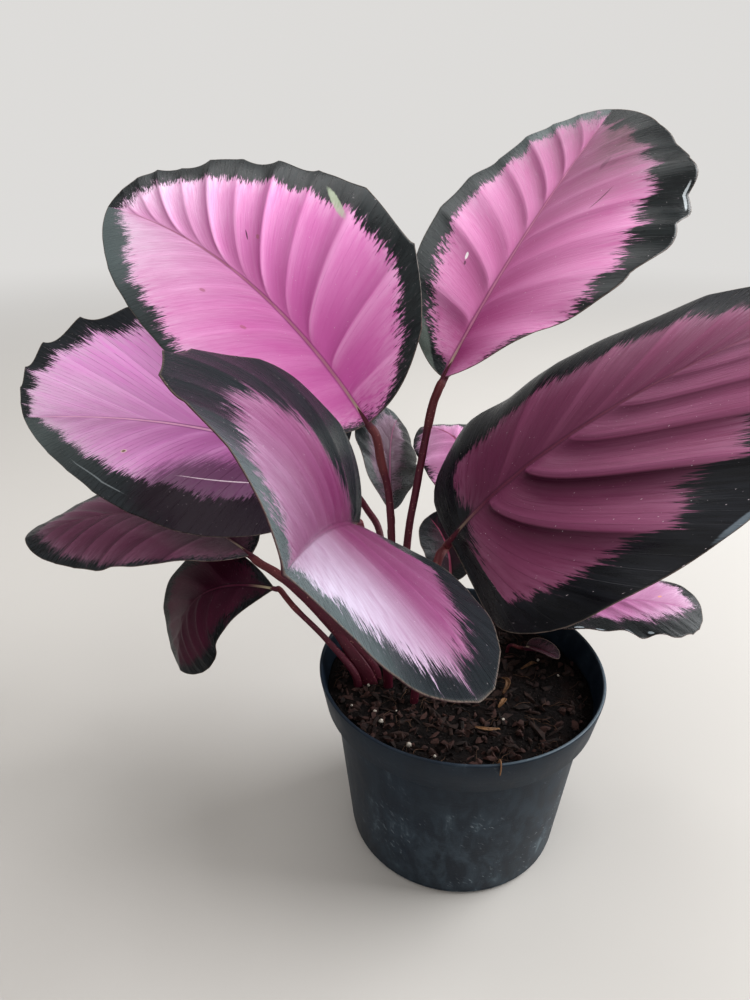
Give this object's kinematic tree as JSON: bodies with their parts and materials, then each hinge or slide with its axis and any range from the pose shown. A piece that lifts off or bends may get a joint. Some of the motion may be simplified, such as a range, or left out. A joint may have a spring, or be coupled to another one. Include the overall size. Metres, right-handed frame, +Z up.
{
  "type": "potted pink star calathea",
  "caption": "Young prayer plant in a round nursery pot: waved pink leaves with dark green edges on maroon stems above potting soil.",
  "frame": {"origin": "the middle of the pot's flat underside", "axes": "+Z up along the pot's axis, -Y towards the front of the plant, +X to its right"},
  "size_m": [0.32, 0.3049, 0.3002],
  "materials": {
    "pot_plastic": "thin blue-black nursery plastic, slightly glossy, with dust and fine scuffs",
    "soil": "loose coconut chip, bark and peat mix with a few white perlite beads",
    "leaf_pink": "waxy leaf, bright pink with feathered blackish-green margins",
    "leaf_rose": "waxy leaf, rose pink with feathered blackish-green margins",
    "leaf_plum": "waxy leaf, plum with blackish-green margins",
    "leaf_maroon": "waxy leaf, dark maroon",
    "stem": "smooth maroon petiole with a fine pale fuzz"
  },
  "bodies": {
    "root": {"pot": "pot_plastic", "soil": "soil", "leaf_upper_left": "leaf_pink", "leaf_upper_right": "leaf_rose", "leaf_right": "leaf_plum", "leaf_left": "leaf_pink", "leaf_front": "leaf_pink", "leaf_lower_left": "leaf_plum", "leaf_drooping": "leaf_maroon", "leaf_centre": "leaf_rose", "leaf_back": "leaf_pink", "leaf_low_right": "leaf_rose", "leaf_hidden": "leaf_maroon", "leaf_young": "leaf_maroon", "stem_upper_left": "stem", "stem_upper_right": "stem", "stem_right": "stem", "stem_left": "stem", "stem_front": "stem", "stem_lower_left": "stem", "stem_drooping": "stem", "stem_centre": "stem", "stem_back": "stem", "stem_low_right": "stem", "stem_hidden": "stem", "stem_young": "stem"}
  },
  "joints": []
}
